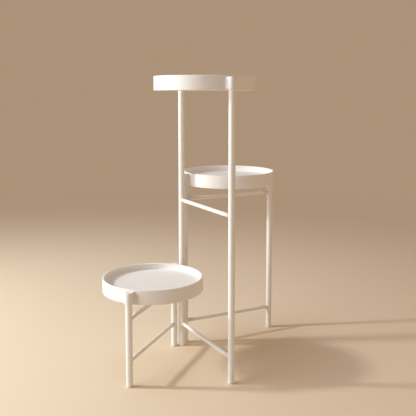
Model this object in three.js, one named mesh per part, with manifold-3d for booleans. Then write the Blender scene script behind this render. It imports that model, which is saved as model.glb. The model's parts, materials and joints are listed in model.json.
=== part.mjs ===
// Tiered plant stand: three ladder frames of round tube joined by hinge links, each with a shallow
// round tray that lifts off its two posts. Millimetres, +Z up. The origin is the foot of the tall
// frame's hinge post on the floor, +X runs to the right and +Y to the rear of the opened stand.
import * as THREE from "three";
import { mergeVertices } from "three/addons/utils/BufferGeometryUtils.js";
import Module from "manifold-3d";

// ---------------------------------------------------------------- driving dimensions

// Trays, the same three times
const trayDiameter = 250;
const trayHeight = 35; // outer band, from the rim to the lower edge
const trayDepth = 16; // from the rim down to the floor that a pot stands on
const bandWall = 2; // sheet of the outer band
const beadWidth = 5; // rolled rim, measured inwards
const beadHeight = 4;
const hemWidth = 4; // rolled lower edge, measured inwards
const hemHeight = 3.5;
const edgeRadius = 1.8; // rounding of the rolled edges
const panWall = 1.5; // sheet of the pressed pan
const panCorner = 5; // outer radius between the pan's floor and its upright edge

// Height of each tray's rim over the floor
const tallRim = 725;
const midRim = 470;
const lowRim = 230;

// Posts and their end pieces
const postDiameter = 16;
const postWall = 1.2;
const trayPostGap = 1.5; // between a post and the tray's band
const footThickness = 3.7; // plastic glide under the post
const footChamfer = 0.8;
const footStem = 11; // length of the glide's stem inside the post
const plugThickness = 1.5; // plastic plug on the post
const plugChamfer = 0.6;
const plugStem = 9;

// Rungs
const rungDiameter = 10;
const lowerRungHeight = 62; // centre line over the floor, on all three frames
const upperRungDrop = 35; // centre line below the mid tray, on the tall and mid frames
const lowRungDrop = 33; // centre line below the low tray, on the low frame

// Tray sockets, which slip over the post tops
const hingeSocketDrop = 2; // below the rim
const outerSocketDrop = 4;
const socketRise = 3; // above the band's lower edge
const socketWall = 2.1;
const socketRoof = 2.5;
const socketRound = 1.5; // rounding of the top and bottom edges

// Hinge hardware
const hingePostGap = 6; // clear width between two linked posts
const linkThickness = 3;
const linkClearance = 2; // between a link's eye and the neighbouring post
const washerThickness = 1;
const washerWall = 3;
const collarHeight = 5;
const collarWall = 2.7;
const stackOverRung = 2.5; // from the low frame's upper rung up to the upper stack
const stackUnderRung = 9; // from the same rung down to the lower stack

// Fits
const joinGap = 0.3; // between pieces that are welded, glued or seated
const runningGap = 0.3; // between a post and what turns or slides on it

// Stance, in degrees from +X, anticlockwise seen from above
const tallAngle = -62; // from the tall hinge post to the tall outer post
const midAngle = 27;
const lowAngle = -109.5;
const midLinkAngle = 69.5; // from the tall hinge post to the mid hinge post
const lowLinkAngle = -169;

// Facets of round surfaces
const trayFacets = 60;
const postFacets = 24;
const rungFacets = 20;
const edgeSteps = 2; // facets of a small rounding

// ---------------------------------------------------------------- derived sizes

const trayRadius = trayDiameter / 2;
const postRadius = postDiameter / 2;
const postSpacing = trayDiameter + 2 * (postRadius + trayPostGap);
const hingePitch = postDiameter + hingePostGap;
const stemRadius = postRadius - postWall - joinGap;
const boreRadius = postRadius + runningGap;
const rungRadius = rungDiameter / 2;
const upperRungHeight = midRim - trayHeight - upperRungDrop;
const lowRungHeight = lowRim - trayHeight - lowRungDrop;
const postBottom = footThickness + joinGap;
const stackHeight = 2 * collarHeight + 2 * linkThickness + washerThickness + 4 * runningGap;
const upperStackBottom = lowRungHeight + rungRadius + stackOverRung;
const lowerStackBottom = lowRungHeight - rungRadius - stackUnderRung - stackHeight;

// The two posts of a frame: where each stands along it, and its socket's turn and drop on the tray
const sides = [
  { side: "hinge", x: 0, socketTurn: 0, socketDrop: hingeSocketDrop },
  { side: "outer", x: postSpacing, socketTurn: Math.PI, socketDrop: outerSocketDrop },
];

// ---------------------------------------------------------------- materials

const powderCoat = new THREE.MeshStandardMaterial({
  color: 0xf3efe8,
  roughness: 0.5,
  metalness: 0,
});
const whitePlastic = new THREE.MeshStandardMaterial({
  color: 0xe9e6df,
  roughness: 0.6,
  metalness: 0,
});
const nylon = new THREE.MeshStandardMaterial({
  color: 0xd9d6cc,
  roughness: 0.45,
  metalness: 0,
});

// ---------------------------------------------------------------- shape helpers

const wasm = await Module();
wasm.setup();

// A closed geometry as a solid that can be cut.
function solidOf(geometry) {
  const bare = geometry.index ? geometry.toNonIndexed() : geometry.clone();
  bare.deleteAttribute("normal");
  bare.deleteAttribute("uv");
  const merged = mergeVertices(bare, 1e-4);
  return new wasm.Manifold(
    new wasm.Mesh({
      numProp: 3,
      vertProperties: merged.attributes.position.array,
      triVerts: new Uint32Array(merged.index.array),
    }),
  );
}

// A solid as a geometry again, with flat shading normals.
function geometryOf(solid) {
  const mesh = solid.getMesh();
  const geometry = new THREE.BufferGeometry();
  geometry.setAttribute("position", new THREE.BufferAttribute(mesh.vertProperties, 3));
  geometry.setIndex(new THREE.BufferAttribute(mesh.triVerts, 1));
  const faceted = geometry.toNonIndexed();
  faceted.computeVertexNormals();
  return faceted;
}

// Turns a profile of [radius, height] points about the Z axis.
function turned(profile, facets) {
  const points = profile.map(([radius, height]) => new THREE.Vector2(radius, height));
  return new THREE.LatheGeometry(points, facets).rotateX(Math.PI / 2);
}

// A turned profile that closes on itself, listed anticlockwise with the radius to the right.
function turnedRing(profile, facets) {
  return turned([...profile, profile[0]], facets);
}

// The points of a rounding from one angle to another, in degrees, about [radius, height].
function rounding(centre, size, fromAngle, toAngle) {
  return Array.from({ length: edgeSteps + 1 }, (_, i) => {
    const angle = THREE.MathUtils.degToRad(fromAngle + ((toAngle - fromAngle) * i) / edgeSteps);
    return [centre[0] + size * Math.cos(angle), centre[1] + size * Math.sin(angle)];
  });
}

// A plain ring of rectangular section, standing on z = bottom.
function ring(innerRadius, outerRadius, bottom, height) {
  const profile = [
    [innerRadius, bottom],
    [outerRadius, bottom],
    [outerRadius, bottom + height],
    [innerRadius, bottom + height],
  ];
  return turnedRing(profile, postFacets);
}

// An upright cylinder for cutting, from z = bottom to z = top, with its axis at x.
function upright(radius, bottom, top, x, facets) {
  const geometry = new THREE.CylinderGeometry(radius, radius, top - bottom, facets);
  return geometry.rotateX(Math.PI / 2).translate(x, 0, (bottom + top) / 2);
}

function named(name, geometry, material) {
  const mesh = new THREE.Mesh(geometry, material);
  mesh.name = name;
  return mesh;
}

// ---------------------------------------------------------------- trays

// Outer band with a rolled rim and a rolled lower edge; its rim is at z = 0.
function bandGeometry() {
  const outer = trayRadius;
  const low = -trayHeight;
  const round = edgeRadius;
  return turnedRing(
    [
      ...rounding([outer - round, low + round], round, -90, 0),
      ...rounding([outer - round, -round], round, 0, 90),
      ...rounding([outer - beadWidth + round, -round], round, 90, 180),
      [outer - beadWidth, -beadHeight],
      [outer - bandWall, -beadHeight],
      [outer - bandWall, low + hemHeight],
      [outer - hemWidth, low + hemHeight],
      [outer - hemWidth, low],
    ],
    trayFacets,
  );
}

// Pressed pan inside the band: a flat floor, a rounded corner and an upright edge under the rim.
function panGeometry() {
  const outer = trayRadius - bandWall - joinGap;
  const under = -trayDepth - panWall;
  const top = -beadHeight - joinGap;
  const centre = [outer - panCorner, under + panCorner];
  return turned(
    [
      [0, under],
      ...rounding(centre, panCorner, -90, 0),
      [outer, top],
      [outer - panWall, top],
      ...rounding(centre, panCorner - panWall, 0, -90),
      [0, -trayDepth],
    ],
    trayFacets,
  );
}

// Socket round a post top, run in to the band, its top a drop below the rim. The post's axis is at
// the origin and the tray's centre lies along +X; the rim is at z = 0.
function socketGeometry(drop) {
  const outer = boreRadius + socketWall;
  const bandFace = postSpacing / 2 - Math.sqrt(trayRadius ** 2 - outer ** 2);
  const reach = bandFace + 2 * socketWall; // past the band's face, where the cut below ends it
  const bottom = -trayHeight + socketRise;
  const top = -drop;
  const outline = new THREE.Shape();
  outline.moveTo(reach, outer);
  outline.lineTo(0, outer);
  outline.absarc(0, 0, outer, Math.PI / 2, (3 * Math.PI) / 2, false);
  outline.lineTo(reach, -outer);
  outline.closePath();
  const block = new THREE.ExtrudeGeometry(outline, {
    depth: top - bottom - 2 * socketRound,
    bevelThickness: socketRound,
    bevelSize: socketRound,
    bevelOffset: -socketRound,
    bevelSegments: edgeSteps,
    curveSegments: postFacets / 2,
  }).translate(0, 0, bottom + socketRound);
  const below = bottom - trayHeight; // the cuts start well under the block
  const band = upright(trayRadius + joinGap, below, trayHeight, postSpacing / 2, 2 * trayFacets);
  const bore = upright(boreRadius, below, top - socketRoof, 0, postFacets);
  return geometryOf(solidOf(block).subtract(solidOf(band)).subtract(solidOf(bore)));
}

// Tray with its two sockets, between posts at x = 0 and x = postSpacing.
function tray(name, rim) {
  const group = new THREE.Group();
  group.position.z = rim;
  const band = named(`${name}_tray_band`, bandGeometry(), powderCoat);
  const pan = named(`${name}_tray_pan`, panGeometry(), powderCoat);
  band.position.x = postSpacing / 2;
  pan.position.x = postSpacing / 2;
  group.add(band, pan);
  for (const { side, x, socketTurn, socketDrop } of sides) {
    const socket = named(`${name}_tray_${side}_socket`, socketGeometry(socketDrop), powderCoat);
    socket.position.x = x;
    socket.rotation.z = socketTurn;
    group.add(socket);
  }
  return group;
}

// ---------------------------------------------------------------- frames

// Glide under a post: a thick foot with a chamfered lower edge and a stem inside the tube.
function footGeometry() {
  return turned(
    [
      [0, 0],
      [postRadius - footChamfer, 0],
      [postRadius, footChamfer],
      [postRadius, footThickness],
      [stemRadius, footThickness],
      [stemRadius, footThickness + footStem],
      [0, footThickness + footStem],
    ],
    postFacets,
  );
}

// Plug on a post, with its top face at z = 0 and its stem hanging inside the tube.
function plugGeometry() {
  return turned(
    [
      [0, -plugThickness - plugStem],
      [stemRadius, -plugThickness - plugStem],
      [stemRadius, -plugThickness],
      [postRadius, -plugThickness],
      [postRadius, -plugChamfer],
      [postRadius - plugChamfer, 0],
      [0, 0],
    ],
    postFacets,
  );
}

// Rod between the two posts, its ends hollowed to the posts' round.
function rungGeometry() {
  const rod = new THREE.CylinderGeometry(rungRadius, rungRadius, postSpacing, rungFacets)
    .rotateZ(Math.PI / 2)
    .translate(postSpacing / 2, 0, 0);
  const cope = (x) => solidOf(upright(postRadius + joinGap, -rungDiameter, rungDiameter, x, postFacets));
  return geometryOf(solidOf(rod).subtract(cope(0)).subtract(cope(postSpacing)));
}

// Ladder frame: its hinge post stands at the origin and its outer post along +X. Each post ends, with
// its plug, under the roof of its tray socket.
function frame(name, rim, upperHeight) {
  const group = new THREE.Group();
  for (const { side, x, socketDrop } of sides) {
    const plugTop = rim - socketDrop - socketRoof - runningGap;
    const postTop = plugTop - plugThickness - joinGap;
    const tube = ring(postRadius - postWall, postRadius, postBottom, postTop - postBottom);
    const post = named(`${name}_${side}_post`, tube, powderCoat);
    const foot = named(`${name}_${side}_foot`, footGeometry(), whitePlastic);
    const plug = named(`${name}_${side}_plug`, plugGeometry(), whitePlastic);
    plug.position.z = plugTop;
    for (const piece of [post, foot, plug]) piece.position.x = x;
    group.add(post, foot, plug);
  }
  for (const [level, height] of [["upper", upperHeight], ["lower", lowerRungHeight]]) {
    const rung = named(`${name}_${level}_rung`, rungGeometry(), powderCoat);
    rung.position.z = height;
    group.add(rung);
  }
  return group;
}

// ---------------------------------------------------------------- hinge hardware

// Flat link with two eyes, standing on z = 0: one eye at the origin, the other at x = hingePitch.
function linkGeometry() {
  const eye = postRadius + hingePostGap - linkClearance;
  const outline = new THREE.Shape();
  outline.absarc(0, 0, eye, Math.PI / 2, (3 * Math.PI) / 2, false);
  outline.absarc(hingePitch, 0, eye, -Math.PI / 2, Math.PI / 2, false);
  outline.closePath();
  for (const x of [0, hingePitch]) {
    const hole = new THREE.Path();
    hole.absarc(x, 0, boreRadius, 0, 2 * Math.PI, true);
    outline.holes.push(hole);
  }
  return new THREE.ExtrudeGeometry(outline, {
    depth: linkThickness,
    bevelEnabled: false,
    curveSegments: postFacets / 2,
  });
}

// One stack on the tall hinge post: collar, low link, washer, mid link, collar, from the bottom up.
function hingeStack(level, bottom) {
  const group = new THREE.Group();
  const lowLinkBottom = bottom + collarHeight + runningGap;
  const washerBottom = lowLinkBottom + linkThickness + runningGap;
  const midLinkBottom = washerBottom + washerThickness + runningGap;
  const topCollarBottom = midLinkBottom + linkThickness + runningGap;
  const collarRadius = boreRadius + collarWall;
  const washerRadius = boreRadius + washerWall;
  const collar = (place, height) => {
    const body = ring(postRadius + joinGap, collarRadius, height, collarHeight);
    return named(`${level}_${place}_collar`, body, powderCoat);
  };
  const washer = ring(boreRadius, washerRadius, washerBottom, washerThickness);
  const lowLink = named(`low_${level}_link`, linkGeometry(), powderCoat);
  lowLink.position.z = lowLinkBottom;
  lowLink.rotation.z = THREE.MathUtils.degToRad(lowLinkAngle);
  const midLink = named(`mid_${level}_link`, linkGeometry(), powderCoat);
  midLink.position.z = midLinkBottom;
  midLink.rotation.z = THREE.MathUtils.degToRad(midLinkAngle);
  group.add(collar("bottom", bottom), lowLink, named(`${level}_link_washer`, washer, nylon));
  group.add(midLink, collar("top", topCollarBottom));
  return group;
}

// ---------------------------------------------------------------- the stand

// A frame and its tray, with the hinge post where a link from the tall hinge post holds it.
function unit(name, rim, upperHeight, angle, linkAngle, linkLength) {
  const group = new THREE.Group();
  const direction = THREE.MathUtils.degToRad(linkAngle);
  group.position.set(linkLength * Math.cos(direction), linkLength * Math.sin(direction), 0);
  group.rotation.z = THREE.MathUtils.degToRad(angle);
  group.add(frame(name, rim, upperHeight), tray(name, rim));
  return group;
}

const stand = new THREE.Group();
stand.add(
  unit("tall", tallRim, upperRungHeight, tallAngle, 0, 0),
  unit("mid", midRim, upperRungHeight, midAngle, midLinkAngle, hingePitch),
  unit("low", lowRim, lowRungHeight, lowAngle, lowLinkAngle, hingePitch),
  hingeStack("upper", upperStackBottom),
  hingeStack("lower", lowerStackBottom),
);

export default stand;
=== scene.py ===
"""Looks of a tiered plant stand: white powder-coated steel tube, three shallow round trays.

Everything is in metres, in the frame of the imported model: +Z up, the origin under the tall
frame's hinge post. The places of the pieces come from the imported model's own boxes.
"""

import json
import math

import bmesh
import bpy
from mathutils import Matrix, Vector
from mathutils.geometry import tessellate_polygon


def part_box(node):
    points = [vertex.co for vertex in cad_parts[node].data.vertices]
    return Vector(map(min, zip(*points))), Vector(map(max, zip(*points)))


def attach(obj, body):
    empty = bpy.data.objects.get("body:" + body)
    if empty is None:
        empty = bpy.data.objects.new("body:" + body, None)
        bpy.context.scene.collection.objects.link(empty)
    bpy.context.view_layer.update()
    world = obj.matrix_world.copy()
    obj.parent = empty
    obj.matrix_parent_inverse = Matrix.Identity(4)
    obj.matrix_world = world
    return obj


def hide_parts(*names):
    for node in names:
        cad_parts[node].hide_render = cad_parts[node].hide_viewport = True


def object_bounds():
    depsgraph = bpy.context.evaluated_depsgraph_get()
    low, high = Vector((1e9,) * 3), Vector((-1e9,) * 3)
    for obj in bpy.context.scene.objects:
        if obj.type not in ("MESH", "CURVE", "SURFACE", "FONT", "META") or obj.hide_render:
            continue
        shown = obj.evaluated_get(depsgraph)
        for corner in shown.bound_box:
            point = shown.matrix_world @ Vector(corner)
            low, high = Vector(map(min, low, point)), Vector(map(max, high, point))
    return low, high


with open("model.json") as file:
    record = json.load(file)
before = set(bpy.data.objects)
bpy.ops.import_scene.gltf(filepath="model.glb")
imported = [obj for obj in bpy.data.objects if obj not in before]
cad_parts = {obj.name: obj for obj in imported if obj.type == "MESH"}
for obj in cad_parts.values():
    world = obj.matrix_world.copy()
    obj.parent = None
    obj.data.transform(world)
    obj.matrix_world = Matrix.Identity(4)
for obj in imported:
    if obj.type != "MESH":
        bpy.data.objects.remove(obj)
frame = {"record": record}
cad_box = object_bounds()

MM = 0.001

# ---------------------------------------------------------------- sizes

FIT_GAP = 0.3 * MM  # between pieces that fit in or round each other

# Trays
TRAY_RADIUS = 125 * MM
TRAY_HEIGHT = 35 * MM
TRAY_DEPTH = 16 * MM
BAND_WALL = 2 * MM
BEAD_WIDTH = 5 * MM
BEAD_HEIGHT = 4 * MM
HEM_WIDTH = 4 * MM
HEM_HEIGHT = 3.5 * MM
EDGE_RADIUS = 1.8 * MM
SMALL_RADIUS = 0.8 * MM
PAN_WALL = 1.5 * MM
PAN_CORNER = 5 * MM
PAN_LIP_SUNK = 0.5 * MM  # how far the pan's lip reaches into the rolled rim
PAN_LIP_RADIUS = PAN_WALL / 3

# Posts, rungs and what is on them
POST_RADIUS = 8 * MM
POST_WALL = 1.2 * MM
POST_BURR = POST_WALL / 4  # rounding of a tube's deburred ends
RUNG_RADIUS = 5 * MM
GLIDE_CHAMFER = 0.8 * MM
STEM_RADIUS = POST_RADIUS - POST_WALL - FIT_GAP
SHOULDER_GAP = 0.1 * MM  # from a tube's end to the shoulder of its glide or plug
SHOULDER_RADIUS = SMALL_RADIUS / 4
PLUG_RADIUS = SMALL_RADIUS / 2

# Welds between rungs and posts
WELD_BEAD = 1.1 * MM  # radius of the bead
WELD_RIPPLES = 22
WELD_LEAST = 0.86  # share of the bead's radius that is left between two ripples
WELD_SWELL = 0.22  # what the top of a ripple adds to that share

# Sockets round the post tops
BORE_RADIUS = POST_RADIUS + FIT_GAP
SOCKET_WALL = 2.1 * MM
SOCKET_RADIUS = BORE_RADIUS + SOCKET_WALL
SOCKET_ROOF = 2.5 * MM
SOCKET_ROUND = 1.5 * MM
SOCKET_FILLET = 3 * MM  # hollow of the weld where a socket runs in to its band
SOCKET_SUNK = 1.9 * MM  # how far the socket reaches into the band's wall
SOCKET_MOUTH = 0.4 * MM  # chamfer at the bore's mouth

# Hinge hardware
LINK_EYE_RADIUS = 12 * MM
LINK_BEVEL = 0.5 * MM
COLLAR_GAP = 0.05 * MM  # a collar sits tight on its post
COLLAR_INNER = POST_RADIUS + COLLAR_GAP
COLLAR_RADIUS = BORE_RADIUS + 2.7 * MM
COLLAR_BEVEL = 0.6 * MM
WASHER_RADIUS = BORE_RADIUS + 3 * MM
WASHER_BEVEL = 0.2 * MM

# Fineness of round surfaces
TRAY_FACETS = 180
POST_FACETS = 64
RUNG_ROWS = 12
WELD_STEPS = 176
WELD_FACETS = 10
LINK_BEVEL_STEPS = 3
FLOOR_FACETS = 96
EDGE_STEPS = 6
EASE = 0.25 * MM  # a flat keeps a row of points this close to its roundings
CLOSE = 0.001 * MM  # points nearer than this are one point
SHARP_FROM = math.radians(35)  # faces that meet at more than this keep a crisp edge


# ---------------------------------------------------------------- places

BODIES = frame["record"]["behaviour"]["bodies"]
BODY_OF = {node: body for body, nodes in BODIES.items() for node in nodes}
UNITS = ("tall", "mid", "low")
SIDES = ("hinge", "outer")
LEVELS = ("upper", "lower")


def middle(node):
    """Centre of a node's box."""
    lowest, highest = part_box(node)
    return (lowest + highest) / 2


def on_floor(point):
    """A point's place in plan."""
    return Vector((point.x, point.y, 0))


def turn_towards(start, end):
    """Angle about Z from +X to the direction from one point to another."""
    return math.atan2(end.y - start.y, end.x - start.x)


# ---------------------------------------------------------------- profiles


def rounded(corners, closed=True):
    """Profile points, with each corner (radius out, height, rounding) rounded by its own amount.

    Gives a list of (radius out, height, edge): edge is 1 in the middle of a rounding, 0 on a flat.
    """
    points = []
    count = len(corners)
    for index, (out, height, rounding) in enumerate(corners):
        corner = Vector((out, height))
        at_end = not closed and index in (0, count - 1)
        if at_end or not rounding:
            points.append((out, height, 0.0))
            continue
        before = (Vector(corners[index - 1][:2]) - corner).normalized()
        after = (Vector(corners[(index + 1) % count][:2]) - corner).normalized()
        half_angle = before.angle(after) / 2
        reach = rounding / math.tan(half_angle)
        centre = corner + (before + after).normalized() * (rounding / math.sin(half_angle))
        first = corner + before * reach - centre
        sweep = first.angle_signed(corner + after * reach - centre)
        ease_in = corner + before * (reach + EASE)
        ease_out = corner + after * (reach + EASE)
        points.append((ease_in.x, ease_in.y, 0.0))
        for step in range(EDGE_STEPS + 1):
            share = step / EDGE_STEPS
            spoke = first.copy()
            spoke.rotate(Matrix.Rotation(-sweep * share, 2))
            points.append((centre.x + spoke.x, centre.y + spoke.y, math.sin(math.pi * share)))
        points.append((ease_out.x, ease_out.y, 0.0))
    if closed:
        points.append(points[0])
    return points


# ---------------------------------------------------------------- node trees


class Wiring:
    """A node tree with short calls for adding and joining nodes."""

    def __init__(self, tree):
        self.tree = tree

    def node(self, kind, settings=None, **links):
        """Adds a node; links go to inputs by index or name, as a socket or a plain value."""
        added = self.tree.nodes.new(kind)
        for key, value in (settings or {}).items():
            setattr(added, key, value)
        for key, value in links.items():
            place = int(key[1:]) if key[0] == "i" and key[1:].isdigit() else key.replace("_", " ")
            self.join(value, added.inputs[place])
        return added

    def join(self, value, socket):
        """Feeds an input from a node's output, or sets it to a plain value."""
        if isinstance(value, bpy.types.NodeSocket):
            self.tree.links.new(value, socket)
        else:
            socket.default_value = value

    def math(self, operation, first, second=0.0, third=0.0):
        """Output of one Math node."""
        settings = {"operation": operation}
        return self.node("ShaderNodeMath", settings, i0=first, i1=second, i2=third).outputs[0]

    def spread(self, value, start, end, low=0.0, high=1.0):
        """A value that goes from low to high while another goes from start to end."""
        made = self.node("ShaderNodeMapRange", i0=value, i1=start, i2=end, i3=low, i4=high)
        return made.outputs[0]

    def mixed(self, share, first, second):
        """A colour that goes from one to another as the share goes from 0 to 1."""
        made = self.node("ShaderNodeMix", {"data_type": "RGBA"}, i0=share, i6=first, i7=second)
        return made.outputs[2]

    def noise(self, vector, scale, detail, roughness):
        """Height of a noise pattern."""
        made = self.node("ShaderNodeTexNoise", Vector=vector, Scale=scale)
        self.join(detail, made.inputs["Detail"])
        self.join(roughness, made.inputs["Roughness"])
        return made.outputs[0]


class Tree(Wiring):
    """A new node group with named inputs and outputs."""

    def __init__(self, name, kind, inputs, outputs):
        super().__init__(bpy.data.node_groups.new(name, kind))
        for label, socket, value in inputs:
            made = self.tree.interface.new_socket(label, in_out="INPUT", socket_type=socket)
            if value is not None:
                made.default_value = value
        for label, socket in outputs:
            self.tree.interface.new_socket(label, in_out="OUTPUT", socket_type=socket)
        self.given = self.node("NodeGroupInput").outputs
        self.result = self.node("NodeGroupOutput").inputs

    def vector(self, x=0.0, y=0.0, z=0.0):
        return self.node("ShaderNodeCombineXYZ", i0=x, i1=y, i2=z).outputs[0]

    def finish_mesh(self, geometry, material):
        """Ends a geometry tree: smooth, real, and in its material."""
        smooth = self.node("GeometryNodeSetShadeSmooth", i0=geometry).outputs[0]
        real = self.node("GeometryNodeRealizeInstances", i0=smooth).outputs[0]
        coated = self.node("GeometryNodeSetMaterial", Geometry=real, Material=material)
        self.join(coated.outputs[0], self.result[0])
        return self.tree


def wrapped_grid(tree, rows, columns):
    """A unit grid's mesh with each point's row number and its share of the way round."""
    grid = tree.node(
        "GeometryNodeMeshGrid",
        Size_X=1.0,
        Size_Y=1.0,
        Vertices_X=rows,
        Vertices_Y=tree.math("ADD", columns, 1.0),
    )
    place = tree.node("GeometryNodeInputPosition").outputs[0]
    split = tree.node("ShaderNodeSeparateXYZ", i0=place)
    along = tree.math("ADD", split.outputs[0], 0.5)
    around = tree.math("ADD", split.outputs[1], 0.5)
    row = tree.math("ROUND", tree.math("MULTIPLY", along, tree.math("SUBTRACT", rows, 1.0)))
    return grid.outputs[0], row, around


def at_point(tree, profile, kind, value, row):
    """A value that the profile has at the point of the given number."""
    settings = {"data_type": kind}
    found = tree.node("GeometryNodeSampleIndex", settings, Geometry=profile, Value=value, Index=row)
    return found.outputs[0]


def turning_tree():
    """Turns the object's own points, a profile in the XZ plane, about an upright axis."""
    tree = Tree(
        "turned about an axis",
        "GeometryNodeTree",
        [
            ("Profile", "NodeSocketGeometry", None),
            ("Facets", "NodeSocketInt", POST_FACETS),
            ("Axis", "NodeSocketVector", None),
            ("Finish", "NodeSocketMaterial", None),
        ],
        [("Geometry", "NodeSocketGeometry")],
    )
    profile, facets, axis, finish = tree.given[:4]
    counted = tree.node("GeometryNodeAttributeDomainSize", i0=profile).outputs[0]
    grid, row, around = wrapped_grid(tree, counted, facets)
    position = tree.node("GeometryNodeInputPosition").outputs[0]
    point = at_point(tree, profile, "FLOAT_VECTOR", position, row)
    mark = tree.node("GeometryNodeInputNamedAttribute", {"data_type": "FLOAT"}, Name="edge")
    marked = tree.node(
        "GeometryNodeStoreNamedAttribute",
        {"data_type": "FLOAT", "domain": "POINT"},
        Geometry=grid,
        Name="edge",
        Value=at_point(tree, profile, "FLOAT", mark.outputs[0], row),
    )
    flat = tree.node("ShaderNodeSeparateXYZ", i0=point)
    angle = tree.math("MULTIPLY", around, 2 * math.pi)
    ring = tree.vector(
        tree.math("MULTIPLY", flat.outputs[0], tree.math("COSINE", angle)),
        tree.math("MULTIPLY", flat.outputs[0], tree.math("SINE", angle)),
        flat.outputs[2],
    )
    placed = tree.node("ShaderNodeVectorMath", {"operation": "ADD"}, i0=ring, i1=axis).outputs[0]
    moved = tree.node("GeometryNodeSetPosition", Geometry=marked.outputs[0], Position=placed)
    merged = tree.node("GeometryNodeMergeByDistance", Geometry=moved.outputs[0], Distance=CLOSE)
    return tree.finish_mesh(merged.outputs[0], finish)


def post_surface(tree, post, across):
    """How far from a post's axis its surface lies, at a distance across from the rung's axis."""
    squares = tree.math("MULTIPLY", across, across)
    return tree.math("SQRT", tree.math("SUBTRACT", tree.math("MULTIPLY", post, post), squares))


def coped_rod(tree, span, rung, post, facets, steps):
    """A rod along +X, its ends hollowed to the posts' round and closed on its axis."""
    grid, row, around = wrapped_grid(tree, steps, facets)
    last = tree.math("SUBTRACT", steps, 1.0)
    from_end = tree.math("MINIMUM", row, tree.math("SUBTRACT", last, row))
    full = tree.math("MINIMUM", from_end, 1.0)
    angle = tree.math("MULTIPLY", around, 2 * math.pi)
    out = tree.math("MULTIPLY", rung, full)
    across = tree.math("MULTIPLY", out, tree.math("COSINE", angle))
    height = tree.math("MULTIPLY", out, tree.math("SINE", angle))
    start = post_surface(tree, post, across)
    inner_steps = tree.math("SUBTRACT", last, 2.0)
    share = tree.math("DIVIDE", tree.math("SUBTRACT", row, 1.0), inner_steps)
    share = tree.node("ShaderNodeClamp", i0=share).outputs[0]
    length = tree.math("SUBTRACT", span, tree.math("MULTIPLY", start, 2.0))
    along = tree.math("MULTIPLY_ADD", length, share, start)
    surface = tree.vector(along, across, height)
    rod = tree.node("GeometryNodeSetPosition", Geometry=grid, Position=surface)
    merged = tree.node("GeometryNodeMergeByDistance", Geometry=rod.outputs[0], Distance=CLOSE)
    return merged.outputs[0]


def circle_curve(tree, points, radius):
    """A circle as a curve."""
    settings = {"mode": "RADIUS"}
    made = tree.node("GeometryNodeCurvePrimitiveCircle", settings, Resolution=points, Radius=radius)
    return made.outputs[0]


def rippled_weld(tree, rung, post, bead, ripples):
    """A bead along the line where the rod meets its first post, swelling with each ripple."""
    way = tree.node("GeometryNodeSplineParameter").outputs[0]
    turned = tree.math("MULTIPLY", way, 2 * math.pi)
    across = tree.math("MULTIPLY", rung, tree.math("COSINE", turned))
    height = tree.math("MULTIPLY", rung, tree.math("SINE", turned))
    seam = tree.vector(post_surface(tree, post, across), across, height)
    loop = circle_curve(tree, WELD_STEPS, 1.0)
    line = tree.node("GeometryNodeSetPosition", Geometry=loop, Position=seam)
    half_waves = tree.math("MULTIPLY", turned, tree.math("DIVIDE", ripples, 2.0))
    beat = tree.math("ABSOLUTE", tree.math("SINE", half_waves))
    swell = tree.math("MULTIPLY_ADD", beat, WELD_SWELL, WELD_LEAST)
    swollen = tree.node("GeometryNodeSetCurveRadius", Curve=line.outputs[0], Radius=swell)
    section = circle_curve(tree, WELD_FACETS, bead)
    weld = tree.node("GeometryNodeCurveToMesh", Curve=swollen.outputs[0], Profile_Curve=section)
    return weld.outputs[0]


def welded_rung_tree():
    """A rod from post to post, its ends hollowed to the posts' round, with a rippled weld at each end.

    The rod lies along +X from the first post's axis at the origin, and is then turned and moved.
    """
    tree = Tree(
        "rung welded between two posts",
        "GeometryNodeTree",
        [
            ("Geometry", "NodeSocketGeometry", None),
            ("Span", "NodeSocketFloat", 0.0),
            ("Rung Radius", "NodeSocketFloat", RUNG_RADIUS),
            ("Post Radius", "NodeSocketFloat", POST_RADIUS),
            ("Bead", "NodeSocketFloat", WELD_BEAD),
            ("Ripples", "NodeSocketFloat", float(WELD_RIPPLES)),
            ("Facets", "NodeSocketInt", POST_FACETS),
            ("Steps", "NodeSocketInt", RUNG_ROWS),
            ("Place", "NodeSocketVector", None),
            ("Turn", "NodeSocketFloat", 0.0),
            ("Finish", "NodeSocketMaterial", None),
        ],
        [("Geometry", "NodeSocketGeometry")],
    )
    span, rung, post, bead, ripples, facets, steps, place, turn, finish = tree.given[1:11]
    rod = coped_rod(tree, span, rung, post, facets, steps)
    weld = rippled_weld(tree, rung, post, bead, ripples)
    far = tree.node(
        "GeometryNodeTransform",
        Geometry=weld,
        Translation=tree.vector(span),
        Rotation=tree.vector(0.0, 0.0, math.pi),
    )
    joined = tree.node("GeometryNodeJoinGeometry")
    for piece in (rod, weld, far.outputs[0]):
        tree.join(piece, joined.inputs[0])
    set_down = tree.node(
        "GeometryNodeTransform",
        Geometry=joined.outputs[0],
        Translation=place,
        Rotation=tree.vector(0.0, 0.0, turn),
    )
    return tree.finish_mesh(set_down.outputs[0], finish)


# ---------------------------------------------------------------- pieces


def new_object(name, mesh):
    made = bpy.data.objects.new(name, mesh)
    bpy.context.scene.collection.objects.link(made)
    return made


def plain_mesh(made):
    """What an object shows, modifiers and all, as a mesh of its own."""
    bpy.context.view_layer.update()
    graph = bpy.context.evaluated_depsgraph_get()
    return bpy.data.meshes.new_from_object(made.evaluated_get(graph), depsgraph=graph)


def write_shell(shell, mesh):
    """Writes closed shells to a mesh, with doubles merged and faces turned to the outside."""
    bmesh.ops.remove_doubles(shell, verts=shell.verts, dist=CLOSE)
    bmesh.ops.recalc_face_normals(shell, faces=shell.faces)
    shell.to_mesh(mesh)
    shell.free()


def face_outwards(mesh):
    """Merges a mesh's doubles and turns its faces to the outside."""
    shell = bmesh.new()
    shell.from_mesh(mesh)
    write_shell(shell, mesh)


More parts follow.
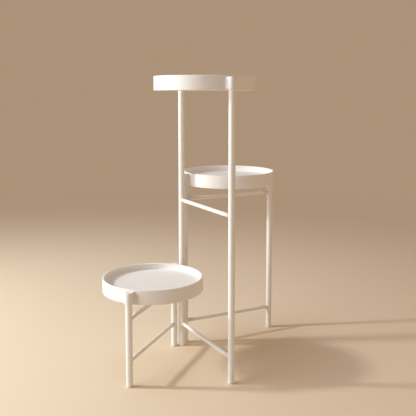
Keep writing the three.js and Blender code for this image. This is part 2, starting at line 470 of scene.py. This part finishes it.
def grown(name, mesh, tree, values):
    """An object that a geometry tree makes from a mesh, as a plain mesh."""
    made = new_object(name, mesh)
    modifier = made.modifiers.new("shape", "NODES")
    modifier.node_group = tree
    for item in tree.interface.items_tree:
        if item.in_out == "INPUT" and item.name in values:
            modifier[item.identifier] = values[item.name]
    plain = plain_mesh(made)
    made.modifiers.remove(modifier)
    made.data = plain
    face_outwards(plain)
    return made


def seat(piece, node):
    """The piece stands for a node: it rides with the node's body, and the node is hidden."""
    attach(piece, BODY_OF[node])
    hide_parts(node)
    return piece


def turned_piece(name, node, profile, finish, facets=POST_FACETS, base=0.0):
    """A piece turned about the upright axis through the node's middle; heights count from base."""
    mesh = bpy.data.meshes.new(name)
    edges = [(i, i + 1) for i in range(len(profile) - 1)]
    mesh.from_pydata([(out, 0, height) for out, height, _ in profile], edges, [])
    marks = mesh.attributes.new("edge", "FLOAT", "POINT")
    marks.data.foreach_set("value", [edge for _, _, edge in profile])
    axis = on_floor(middle(node)) + Vector((0, 0, base))
    values = {"Facets": facets, "Axis": axis, "Finish": finish}
    return seat(grown(name, mesh, TURNING, values), node)


def band(unit, rim):
    """Outer band of a tray, its rim and its lower edge rolled inwards."""
    low = -TRAY_HEIGHT
    corners = [
        (TRAY_RADIUS, low, EDGE_RADIUS),
        (TRAY_RADIUS, 0, EDGE_RADIUS),
        (TRAY_RADIUS - BEAD_WIDTH, 0, EDGE_RADIUS),
        (TRAY_RADIUS - BEAD_WIDTH, -BEAD_HEIGHT, SMALL_RADIUS),
        (TRAY_RADIUS - BAND_WALL, -BEAD_HEIGHT, SMALL_RADIUS),
        (TRAY_RADIUS - BAND_WALL, low + HEM_HEIGHT, SMALL_RADIUS),
        (TRAY_RADIUS - HEM_WIDTH, low + HEM_HEIGHT, SMALL_RADIUS),
        (TRAY_RADIUS - HEM_WIDTH, low, SMALL_RADIUS),
    ]
    node = f"{unit}_tray_band"
    return turned_piece(f"{node}_rolled", node, rounded(corners), COAT, TRAY_FACETS, rim)


def pan(unit, rim):
    """Pressed pan: a flat floor, a rounded corner and an upright edge that ends in the rim."""
    outer = TRAY_RADIUS - BAND_WALL - FIT_GAP
    lip = -BEAD_HEIGHT + PAN_LIP_SUNK
    under = -TRAY_DEPTH - PAN_WALL
    corners = [
        (0, under, 0),
        (outer, under, PAN_CORNER),
        (outer, lip, PAN_LIP_RADIUS),
        (outer - PAN_WALL, lip, PAN_LIP_RADIUS),
        (outer - PAN_WALL, -TRAY_DEPTH, PAN_CORNER - PAN_WALL),
        (0, -TRAY_DEPTH, 0),
    ]
    node = f"{unit}_tray_pan"
    profile = rounded(corners, closed=False)
    return turned_piece(f"{node}_pressed", node, profile, PAN_COAT, TRAY_FACETS, rim)


def post(unit, side):
    """Straight tube with both ends deburred."""
    node = f"{unit}_{side}_post"
    lowest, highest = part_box(node)
    inner = POST_RADIUS - POST_WALL
    corners = [
        (inner, lowest.z, POST_BURR),
        (POST_RADIUS, lowest.z, POST_BURR),
        (POST_RADIUS, highest.z, POST_BURR),
        (inner, highest.z, POST_BURR),
    ]
    return turned_piece(f"{node}_tube", node, rounded(corners), COAT)


def glide(unit, side):
    """Plastic foot with an eased lower edge and a stem up inside the tube."""
    node = f"{unit}_{side}_foot"
    lowest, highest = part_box(node)
    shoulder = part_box(f"{unit}_{side}_post")[0].z - SHOULDER_GAP
    corners = [
        (0, lowest.z, 0),
        (POST_RADIUS, lowest.z, GLIDE_CHAMFER),
        (POST_RADIUS, shoulder, SHOULDER_RADIUS),
        (STEM_RADIUS, shoulder, SHOULDER_RADIUS),
        (STEM_RADIUS, highest.z, SMALL_RADIUS),
        (0, highest.z, 0),
    ]
    return turned_piece(f"{node}_glide", node, rounded(corners, closed=False), GLIDE_PLASTIC)


def plug(unit, side):
    """Plastic plug on the tube's top end, under the socket's roof."""
    node = f"{unit}_{side}_plug"
    lowest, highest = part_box(node)
    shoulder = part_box(f"{unit}_{side}_post")[1].z + SHOULDER_GAP
    corners = [
        (0, lowest.z, 0),
        (STEM_RADIUS, lowest.z, SMALL_RADIUS),
        (STEM_RADIUS, shoulder, SHOULDER_RADIUS),
        (POST_RADIUS, shoulder, SHOULDER_RADIUS),
        (POST_RADIUS, highest.z, PLUG_RADIUS),
        (0, highest.z, 0),
    ]
    return turned_piece(f"{node}_cap", node, rounded(corners, closed=False), GLIDE_PLASTIC)


def rung(unit, level):
    """Rod between the two posts of a frame, welded at both ends."""
    node = f"{unit}_{level}_rung"
    near = middle(f"{unit}_hinge_post")
    far = middle(f"{unit}_outer_post")
    values = {
        "Span": on_floor(far - near).length,
        "Place": on_floor(near) + Vector((0, 0, middle(node).z)),
        "Turn": turn_towards(near, far),
        "Finish": COAT,
    }
    return seat(grown(f"{node}_welded", bpy.data.meshes.new(node), WELDED_RUNG, values), node)


def ring_piece(name, node, inner, outer, bevel, finish):
    """A plain ring with eased edges, as high as its node."""
    lowest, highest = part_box(node)
    corners = [
        (inner, lowest.z, bevel),
        (outer, lowest.z, bevel),
        (outer, highest.z, bevel),
        (inner, highest.z, bevel),
    ]
    return turned_piece(name, node, rounded(corners), finish)


def link(unit, level):
    """Flat plate with two eyes, one round the tall hinge post and one round its neighbour."""
    node = f"{unit}_{level}_link"
    lowest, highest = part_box(node)
    near = on_floor(middle("tall_hinge_post"))
    far = on_floor(middle(f"{unit}_hinge_post"))
    pitch = (far - near).length
    flat = bpy.data.curves.new(node, "CURVE")
    flat.dimensions = "2D"
    flat.fill_mode = "BOTH"
    flat.bevel_depth = LINK_BEVEL
    flat.bevel_resolution = LINK_BEVEL_STEPS
    flat.offset = -LINK_BEVEL
    flat.extrude = (highest.z - lowest.z) / 2 - LINK_BEVEL

    def closed_spline(points):
        spline = flat.splines.new("POLY")
        spline.points.add(len(points) - 1)
        for point, (x, y) in zip(spline.points, points):
            point.co = (x, y, 0, 1)
        spline.use_cyclic_u = True

    def arc(x, radius, start, sweep, steps):
        turns = [start + sweep * step / steps for step in range(steps + 1)]
        return [(x + radius * math.cos(turn), radius * math.sin(turn)) for turn in turns]

    half = math.pi / 2
    steps = POST_FACETS // 2
    left = arc(0, LINK_EYE_RADIUS, half, math.pi, steps)
    right = arc(pitch, LINK_EYE_RADIUS, -half, math.pi, steps)
    closed_spline(left + right)
    for x in (0, pitch):
        closed_spline(arc(x, BORE_RADIUS, 0, -2 * math.pi, POST_FACETS)[:-1])
    drawn = new_object(f"{node}_drawn", flat)
    mesh = plain_mesh(drawn)
    bpy.data.objects.remove(drawn)
    turn = Matrix.Rotation(turn_towards(near, far), 4, "Z")
    lift = Vector((0, 0, (lowest.z + highest.z) / 2))
    mesh.transform(Matrix.Translation(near + lift) @ turn)
    face_outwards(mesh)
    mesh.materials.clear()
    mesh.materials.append(COAT)
    return seat(new_object(f"{node}_plate", mesh), node)


def socket_outline(reach):
    """Outline in plan of a socket round a post at the origin, with the tray's centre at +X.

    Each point has the direction against which its open edge is drawn in: round the far side of
    the post (-X), then out in a hollow fillet until it is flush with the band. Inside the band's
    wall, where nothing is seen, the outline runs along the band and isn't drawn in.
    """
    half = []
    steps = POST_FACETS // 4
    for step in range(steps + 1):
        turn = math.pi - math.pi / 2 * step / steps
        out = Vector((math.cos(turn), math.sin(turn)))
        half.append((out * SOCKET_RADIUS, out))
    side = SOCKET_RADIUS + SOCKET_FILLET
    along = reach - math.sqrt((TRAY_RADIUS + SOCKET_FILLET) ** 2 - side**2)
    hollow = Vector((along, side))
    spread = math.atan2(side, reach - along)
    for step in range(EDGE_STEPS * 2 + 1):
        turn = -math.pi / 2 + (math.pi / 2 - spread) * step / (EDGE_STEPS * 2)
        inwards = Vector((math.cos(turn), math.sin(turn)))
        half.append((hollow + inwards * SOCKET_FILLET, -inwards))
    for step in range(EDGE_STEPS + 1):
        turn = spread * (1 - step / EDGE_STEPS)
        from_centre = Vector((-math.cos(turn), math.sin(turn))) * (TRAY_RADIUS - SOCKET_SUNK)
        half.append((Vector((reach, 0)) + from_centre, Vector((0, 0))))
    mirror = Vector((1, -1))
    return half + [(at * mirror, out * mirror) for at, out in reversed(half[1:-1])]


def socket(unit, side):
    """Closed sleeve over a post top, run in to the band, with the bore that the post stands in."""
    node = f"{unit}_tray_{side}_socket"
    lowest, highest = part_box(node)
    bottom, top = lowest.z, highest.z
    axis = on_floor(middle(f"{unit}_{side}_post"))
    tray_centre = on_floor(middle(f"{unit}_tray_band"))
    outline = socket_outline((tray_centre - axis).length)
    sleeve = bmesh.new()

    def drawn_in(inset, height):
        return [sleeve.verts.new((*(at - out * inset), height)) for at, out in outline]

    def circle(radius, height):
        turns = [2 * math.pi * step / POST_FACETS for step in range(POST_FACETS)]
        return [sleeve.verts.new((radius * math.cos(t), radius * math.sin(t), height)) for t in turns]

    def wall(loops):
        """Faces between each loop and the next."""
        for below, above in zip(loops, loops[1:]):
            for index in range(len(below)):
                sleeve.faces.new((below[index - 1], below[index], above[index], above[index - 1]))

    def flat(*loops):
        """A flat face inside the first loop and outside the others."""
        corners = [vert for loop in loops for vert in loop]
        for triangle in tessellate_polygon([[vert.co for vert in loop] for loop in loops]):
            sleeve.faces.new([corners[index] for index in triangle])

    quarter = [math.pi / 2 * step / EDGE_STEPS for step in range(EDGE_STEPS + 1)]
    outside = []
    for turn in quarter:
        inset = SOCKET_ROUND * (1 - math.sin(turn))
        outside.append(drawn_in(inset, bottom + SOCKET_ROUND * (1 - math.cos(turn))))
    for turn in quarter:
        inset = SOCKET_ROUND * (1 - math.cos(turn))
        outside.append(drawn_in(inset, top - SOCKET_ROUND * (1 - math.sin(turn))))
    outside.append(drawn_in(SOCKET_ROUND + EASE, top))
    inside = [
        circle(BORE_RADIUS + SOCKET_MOUTH, bottom),
        circle(BORE_RADIUS, bottom + SOCKET_MOUTH),
        circle(BORE_RADIUS, top - SOCKET_ROOF),
    ]
    wall(outside)
    wall(inside)
    flat(outside[0], inside[0])
    flat(outside[-1])
    flat(inside[-1])
    mesh = bpy.data.meshes.new(node)
    write_shell(sleeve, mesh)
    turn = Matrix.Rotation(turn_towards(axis, tray_centre), 4, "Z")
    mesh.transform(Matrix.Translation(axis) @ turn)
    mesh.materials.append(COAT)
    mesh.polygons.foreach_set("use_smooth", [True] * len(mesh.polygons))
    mesh.set_sharp_from_angle(angle=SHARP_FROM)
    return seat(new_object(f"{node}_sleeve", mesh), node)


# ---------------------------------------------------------------- finishes


WHITE = (0.86, 0.85, 0.815, 1)
WHITE_THIN = (0.82, 0.80, 0.755, 1)
DUST_COLOUR = (0.62, 0.56, 0.47, 1)
EDGE_THINNING = 0.55  # how far the film thins to WHITE_THIN in the middle of a rounding
COAT_DRIFT = 0.35
PLASTIC_DRIFT = 0.5
PLASTIC_GRAIN = 1800.0
PLASTIC_WAVE_SHARE = 0.15
COAT_RELIEF = 0.05 * MM
PLASTIC_RELIEF = 0.02 * MM


def peel_group():
    """Orange peel of a sprayed and baked skin: a fine grain over a slow wave."""
    tree = Tree(
        "orange peel",
        "ShaderNodeTree",
        [
            ("Vector", "NodeSocketVector", None),
            ("Grain", "NodeSocketFloat", 650.0),
            ("Wave", "NodeSocketFloat", 90.0),
            ("Wave Share", "NodeSocketFloat", 0.5),
        ],
        [("Height", "NodeSocketFloat"), ("Patch", "NodeSocketFloat")],
    )
    vector, grain, wave, wave_share = tree.given[:4]
    fine = tree.noise(vector, grain, detail=2.0, roughness=0.55)
    slow = tree.noise(vector, wave, detail=1.0, roughness=0.4)
    tree.join(tree.math("MULTIPLY_ADD", slow, wave_share, fine), tree.result["Height"])
    tree.join(slow, tree.result["Patch"])
    return tree.tree


def tone_group():
    """A colour that drifts a little over the piece and thins towards its edges."""
    tree = Tree(
        "film tone",
        "ShaderNodeTree",
        [
            ("Vector", "NodeSocketVector", None),
            ("Full", "NodeSocketColor", (1, 1, 1, 1)),
            ("Thin", "NodeSocketColor", (1, 1, 1, 1)),
            ("Drift", "NodeSocketFloat", 0.3),
            ("Edge", "NodeSocketFloat", 0.0),
        ],
        [("Color", "NodeSocketColor")],
    )
    vector, full, thin, drift, edge = tree.given[:5]
    cloud = tree.noise(vector, scale=14.0, detail=3.0, roughness=0.5)
    thinning = tree.math("MAXIMUM", tree.spread(cloud, start=0.35, end=0.65, high=drift), edge)
    tree.join(tree.mixed(thinning, full, thin), tree.result["Color"])
    return tree.tree


def dust_group():
    """Mask of the faint dust that settles on faces that look up."""
    tree = Tree(
        "settled dust",
        "ShaderNodeTree",
        [("Vector", "NodeSocketVector", None), ("Amount", "NodeSocketFloat", 0.1)],
        [("Mask", "NodeSocketFloat")],
    )
    vector, amount = tree.given[:2]
    normal = tree.node("ShaderNodeNewGeometry").outputs["Normal"]
    upward = tree.node("ShaderNodeSeparateXYZ", i0=normal).outputs[2]
    level = tree.spread(upward, start=0.7, end=1.0)
    specks = tree.noise(vector, scale=220.0, detail=6.0, roughness=0.7)
    caught = tree.spread(specks, start=0.45, end=0.75, low=0.2)
    mask = tree.math("MULTIPLY", level, tree.math("MULTIPLY", caught, amount))
    tree.join(mask, tree.result["Mask"])
    return tree.tree


class Finish(Wiring):
    """A material around one Principled shader."""

    def __init__(self, name):
        self.material = bpy.data.materials.new(name)
        self.material.use_nodes = True
        super().__init__(self.material.node_tree)
        self.shader = self.first("BSDF_PRINCIPLED")
        self.place = self.node("ShaderNodeTexCoord").outputs["Object"]

    def first(self, kind):
        """The first node of a kind."""
        return next(n for n in self.tree.nodes if n.type == kind)

    def group(self, group, **values):
        """Outputs of a node group that is placed in the material with its own values."""
        return self.node("ShaderNodeGroup", {"node_tree": group}, **values).outputs

    def surface(self, colour, roughness, height, bump, distance):
        """Gives the shader its colour, its roughness and a relief, and the material back."""
        relief = self.node("ShaderNodeBump", Strength=bump, Distance=distance, Height=height)
        self.join(colour, self.shader.inputs["Base Color"])
        self.join(roughness, self.shader.inputs["Roughness"])
        self.join(relief.outputs[0], self.shader.inputs["Normal"])
        return self.material


def sprayed_coat(name, grain, wave_share, bump, roughness, dust):
    """White powder coat: film tone, orange peel in the bump and the gloss, a trace of dust."""
    finish = Finish(name)
    place = finish.place
    edge = finish.node("ShaderNodeAttribute", {"attribute_name": "edge"}).outputs["Fac"]
    thinned = finish.math("MULTIPLY", edge, EDGE_THINNING)
    tone = finish.group(
        FILM_TONE, Vector=place, Full=WHITE, Thin=WHITE_THIN, Drift=COAT_DRIFT, Edge=thinned
    )["Color"]
    peel = finish.group(ORANGE_PEEL, Vector=place, Grain=grain, Wave_Share=wave_share)
    settled = finish.group(SETTLED_DUST, Vector=place, Amount=dust)["Mask"]
    low, high = roughness
    gloss = finish.spread(peel["Patch"], start=0.3, end=0.7, low=low, high=high)
    dusty = finish.mixed(settled, tone, DUST_COLOUR)
    matt = finish.math("ADD", gloss, settled)
    return finish.surface(dusty, matt, peel["Height"], bump, COAT_RELIEF)


def moulded_plastic(name, full, thin, bump, roughness):
    """Moulded plastic: a fine spark-eroded grain and a slight drift of colour."""
    finish = Finish(name)
    place = finish.place
    tone = finish.group(FILM_TONE, Vector=place, Full=full, Thin=thin, Drift=PLASTIC_DRIFT)["Color"]
    grain = finish.group(
        ORANGE_PEEL, Vector=place, Grain=PLASTIC_GRAIN, Wave_Share=PLASTIC_WAVE_SHARE
    )["Height"]
    low, high = roughness
    gloss = finish.spread(grain, start=0.4, end=0.8, low=low, high=high)
    return finish.surface(tone, gloss, grain, bump, PLASTIC_RELIEF)


FILM_TONE = tone_group()
ORANGE_PEEL = peel_group()
SETTLED_DUST = dust_group()

COAT = sprayed_coat(
    "powder coat", grain=650.0, wave_share=0.5, bump=0.35, roughness=(0.38, 0.5), dust=0.04
)
PAN_COAT = sprayed_coat(
    "powder coat on the pan", grain=560.0, wave_share=0.9, bump=0.3, roughness=(0.42, 0.54), dust=0.10
)
GLIDE_PLASTIC = moulded_plastic(
    "glide plastic",
    full=(0.80, 0.78, 0.73, 1),
    thin=(0.76, 0.73, 0.67, 1),
    bump=0.3,
    roughness=(0.5, 0.62),
)
NYLON = moulded_plastic(
    "natural nylon",
    full=(0.72, 0.70, 0.62, 1),
    thin=(0.68, 0.65, 0.56, 1),
    bump=0.2,
    roughness=(0.35, 0.48),
)

# ---------------------------------------------------------------- the stand

TURNING = turning_tree()
WELDED_RUNG = welded_rung_tree()

for unit in UNITS:
    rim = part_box(f"{unit}_tray_band")[1].z
    band(unit, rim)
    pan(unit, rim)
    for side in SIDES:
        post(unit, side)
        glide(unit, side)
        plug(unit, side)
        socket(unit, side)
    for level in LEVELS:
        rung(unit, level)

for level in LEVELS:
    link("low", level)
    link("mid", level)
    washer = f"{level}_link_washer"
    ring_piece(f"{washer}_ring", washer, BORE_RADIUS, WASHER_RADIUS, WASHER_BEVEL, NYLON)
    for place in ("bottom", "top"):
        collar = f"{level}_{place}_collar"
        ring_piece(f"{collar}_ring", collar, COLLAR_INNER, COLLAR_RADIUS, COLLAR_BEVEL, COAT)

# ---------------------------------------------------------------- floor, light and camera

FLOOR_COLOUR = (0.80, 0.67, 0.50)
BACKDROP_COLOUR = (0.41, 0.29, 0.19)
FILL_COLOUR = (0.30, 0.22, 0.16)
FLOOR_RADIUS = 40.0
FLOOR_ROUGHNESS = 0.8
FLOOR_SPECULAR = 0.2
FADE_START = 0.8  # distances from the stand between which the floor turns into the backdrop
FADE_END = 3.0

# Lamps that look at the stand's middle: place, width and height of the panel, watts, colour
LAMPS = {
    "key": ((-2.2, -0.17, 1.47), (0.19, 0.19), 38.0, (0.93, 1.0, 0.96)),
    "broad": ((-2.2, -1.1, 1.2), (2.0, 1.6), 45.0, (0.86, 0.90, 1.0)),
    "ceiling": ((-0.3, 0.3, 2.6), (1.6, 1.6), 11.0, (0.66, 0.74, 1.0)),
    "reflector": ((2.2, -0.3, 1.0), (2.0, 1.8), 8.5, (1.0, 0.68, 0.48)),
}


def backdrop_world():
    """A plain warm backdrop for the camera and for gloss, and a soft fill for everything else."""
    world = bpy.data.worlds.new("studio")
    bpy.context.scene.world = world
    world.use_nodes = True
    world.node_tree.nodes.clear()
    wiring = Wiring(world.node_tree)
    ray = wiring.node("ShaderNodeLightPath").outputs
    seen = wiring.math("MAXIMUM", ray["Is Camera Ray"], ray["Is Glossy Ray"])
    fill = wiring.node("ShaderNodeBackground", Color=(*FILL_COLOUR, 1)).outputs[0]
    backdrop = wiring.node("ShaderNodeBackground", Color=(*BACKDROP_COLOUR, 1)).outputs[0]
    mix = wiring.node("ShaderNodeMixShader", i0=seen, i1=fill, i2=backdrop).outputs[0]
    wiring.node("ShaderNodeOutputWorld", Surface=mix)


def floor_material(centre):
    """Matt sand-coloured floor that turns into the backdrop's colour far from the stand."""
    finish = Finish("floor")
    finish.join((*FLOOR_COLOUR, 1), finish.shader.inputs["Base Color"])
    finish.join(FLOOR_ROUGHNESS, finish.shader.inputs["Roughness"])
    finish.join(FLOOR_SPECULAR, finish.shader.inputs["Specular IOR Level"])
    away = finish.node("ShaderNodeVectorMath", {"operation": "DISTANCE"}, i0=finish.place, i1=centre)
    fade = finish.node(
        "ShaderNodeMapRange",
        {"interpolation_type": "SMOOTHSTEP"},
        Value=away.outputs["Value"],
        From_Min=FADE_START,
        From_Max=FADE_END,
    ).outputs[0]
    ray = finish.node("ShaderNodeLightPath").outputs
    seen = finish.math("MULTIPLY", fade, ray["Is Camera Ray"])
    near = finish.shader.outputs[0]
    far = finish.node("ShaderNodeEmission", Color=(*BACKDROP_COLOUR, 1)).outputs[0]
    mix = finish.node("ShaderNodeMixShader", i0=seen, i1=near, i2=far).outputs[0]
    finish.join(mix, finish.first("OUTPUT_MATERIAL").inputs["Surface"])
    return finish.material


def floor(centre):
    """A wide disc under the stand, which rides with none of the stand's bodies."""
    mesh = bpy.data.meshes.new("floor")
    disc = bmesh.new()
    bmesh.ops.create_circle(disc, cap_ends=True, segments=FLOOR_FACETS, radius=FLOOR_RADIUS)
    disc.to_mesh(mesh)
    disc.free()
    mesh.materials.append(floor_material(centre))
    made = new_object("floor", mesh)


def lamp(name, centre):
    """A soft panel that lights the stand and isn't seen itself."""
    place, (width, height), watts, colour = LAMPS[name]
    data = bpy.data.lights.new(name, "AREA")
    data.shape = "RECTANGLE"
    data.size = width
    data.size_y = height
    data.energy = watts
    data.color = colour
    panel = bpy.data.objects.new(name, data)
    panel.location = place
    panel.rotation_euler = (Vector(place) - centre).to_track_quat("Z", "Y").to_euler()
    panel.visible_camera = False
    bpy.context.scene.collection.objects.link(panel)


# A camera fitted to the photograph from the stand's own sizes. The photograph is nearly level with
# a larger shift; this one looks down a little instead, because other views keep its shift.
CAMERA_PLACE = Vector((79.1, -1737.8, 684.0)) * MM
CAMERA_PITCH = math.radians(5.5)
CAMERA_YAW = math.radians(0.29)
CAMERA_LENS = 56.98
CAMERA_SENSOR = 36.0
CAMERA_SHIFT = -0.1241


def camera():
    data = bpy.data.cameras.new("camera")
    data.sensor_width = CAMERA_SENSOR
    data.lens = CAMERA_LENS
    data.shift_y = CAMERA_SHIFT
    made = bpy.data.objects.new("camera", data)
    made.location = CAMERA_PLACE
    made.rotation_euler = (math.pi / 2 - CAMERA_PITCH, 0, CAMERA_YAW)
    bpy.context.scene.collection.objects.link(made)
    bpy.context.scene.camera = made


stand_centre = (cad_box[0] + cad_box[1]) / 2
backdrop_world()
floor(on_floor(stand_centre))
for name in LAMPS:
    lamp(name, stand_centre)
camera()
bpy.context.scene.view_settings.view_transform = "Standard"
